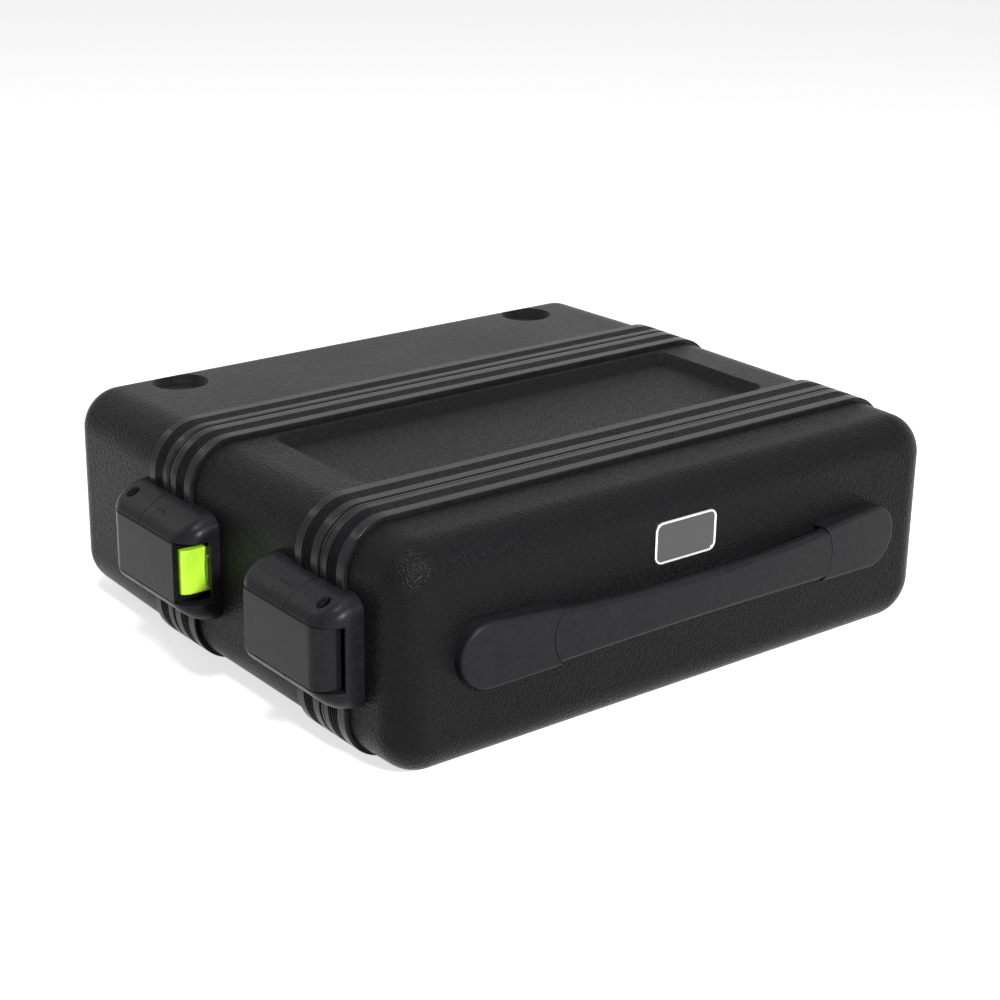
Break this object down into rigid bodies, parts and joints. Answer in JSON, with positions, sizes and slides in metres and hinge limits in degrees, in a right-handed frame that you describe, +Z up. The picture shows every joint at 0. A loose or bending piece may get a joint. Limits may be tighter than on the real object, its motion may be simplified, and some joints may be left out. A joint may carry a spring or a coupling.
{
  "type": "microphone case",
  "caption": "Hard moulded carrying case with pull-off front and rear lids, push-button side latches, a flat strap handle, ribbed valances and fitted foam.",
  "frame": {"origin": "bottom centre: on the resting plane, midway across the width and the whole depth", "axes": "+X along the width, -Y out of the front lid with the handle, +Z up"},
  "size_m": [0.3382, 0.275, 0.104],
  "materials": {
    "shell_black": "moulded, fine leather grain",
    "valance_black": "satin with ribbed strip",
    "latch_black": "satin moulded",
    "lever_black": "satin moulded",
    "button_green": "smooth coloured plastic",
    "handle_black": "soft satin",
    "foam_grey": "open-cell foam",
    "seal_rubber": "matt",
    "steel": "zinc plated",
    "badge_chrome": "polished",
    "badge_black": "gloss, blank"
  },
  "bodies": {
    "case_body": {"body_shell": "shell_black", "body_front_valance": "valance_black", "body_rear_valance": "valance_black", "front_seal": "seal_rubber", "rear_seal": "seal_rubber", "mic_foam_tray": "foam_grey", "receiver_foam_tray": "foam_grey", "keeper_screws": "steel", "left_front_keeper_housing": "latch_black", "right_front_keeper_housing": "latch_black", "left_rear_keeper_housing": "latch_black", "right_rear_keeper_housing": "latch_black"},
    "front_lid": {"front_lid_shell": "shell_black", "front_lid_valance": "valance_black", "front_lid_foam": "foam_grey", "front_hinge_screws": "steel", "handle_left_cap": "handle_black", "handle_right_cap": "handle_black", "handle_grip": "handle_black", "handle_steel_strip": "steel", "handle_screws": "steel", "handle_backing_plates": "steel", "badge_frame": "badge_chrome", "badge_insert": "badge_black", "left_front_hinge_housing": "latch_black", "left_front_hinge_pin": "steel", "right_front_hinge_housing": "latch_black", "right_front_hinge_pin": "steel"},
    "rear_lid": {"rear_lid_shell": "shell_black", "rear_lid_valance": "valance_black", "rear_lid_foam": "foam_grey", "rear_hinge_screws": "steel", "left_rear_hinge_housing": "latch_black", "left_rear_hinge_pin": "steel", "right_rear_hinge_housing": "latch_black", "right_rear_hinge_pin": "steel"},
    "left_front_lever_body": {"left_front_lever": "lever_black", "left_front_button_spring": "steel"},
    "left_front_button_body": {"left_front_button": "button_green"},
    "right_front_lever_body": {"right_front_lever": "lever_black", "right_front_button_spring": "steel"},
    "right_front_button_body": {"right_front_button": "button_green"},
    "left_rear_lever_body": {"left_rear_lever": "lever_black", "left_rear_button_spring": "steel"},
    "left_rear_button_body": {"left_rear_button": "button_green"},
    "right_rear_lever_body": {"right_rear_lever": "lever_black", "right_rear_button_spring": "steel"},
    "right_rear_button_body": {"right_rear_button": "button_green"}
  },
  "joints": [
    {"name": "front_lid_pull", "type": "slide", "parent": "case_body", "child": "front_lid", "axis": [0, -1, 0], "range_m": [0, 0.08]},
    {"name": "rear_lid_pull", "type": "slide", "parent": "case_body", "child": "rear_lid", "axis": [0, 1, 0], "range_m": [0, 0.12]},
    {"name": "left_front_lever_hinge", "type": "hinge", "parent": "front_lid", "child": "left_front_lever_body", "pos_m": [-0.1612, -0.0929, 0.0533], "axis": [0, 0, 1], "range_deg": [0, 95]},
    {"name": "right_front_lever_hinge", "type": "hinge", "parent": "front_lid", "child": "right_front_lever_body", "pos_m": [0.1612, -0.0929, 0.0533], "axis": [0, 0, -1], "range_deg": [0, 95]},
    {"name": "left_rear_lever_hinge", "type": "hinge", "parent": "rear_lid", "child": "left_rear_lever_body", "pos_m": [-0.1612, 0.0585, 0.0533], "axis": [0, 0, -1], "range_deg": [0, 95]},
    {"name": "right_rear_lever_hinge", "type": "hinge", "parent": "rear_lid", "child": "right_rear_lever_body", "pos_m": [0.1612, 0.0585, 0.0533], "axis": [0, 0, 1], "range_deg": [0, 95]},
    {"name": "left_front_button_press", "type": "slide", "parent": "left_front_lever_body", "child": "left_front_button_body", "axis": [0, -1, 0], "range_m": [0, 0.003], "stiffness_N_per_m": 400, "springref_m": -0.002},
    {"name": "right_front_button_press", "type": "slide", "parent": "right_front_lever_body", "child": "right_front_button_body", "axis": [0, -1, 0], "range_m": [0, 0.003], "stiffness_N_per_m": 400, "springref_m": -0.002},
    {"name": "left_rear_button_press", "type": "slide", "parent": "left_rear_lever_body", "child": "left_rear_button_body", "axis": [0, 1, 0], "range_m": [0, 0.003], "stiffness_N_per_m": 400, "springref_m": -0.002},
    {"name": "right_rear_button_press", "type": "slide", "parent": "right_rear_lever_body", "child": "right_rear_button_body", "axis": [0, 1, 0], "range_m": [0, 0.003], "stiffness_N_per_m": 400, "springref_m": -0.002}
  ]
}
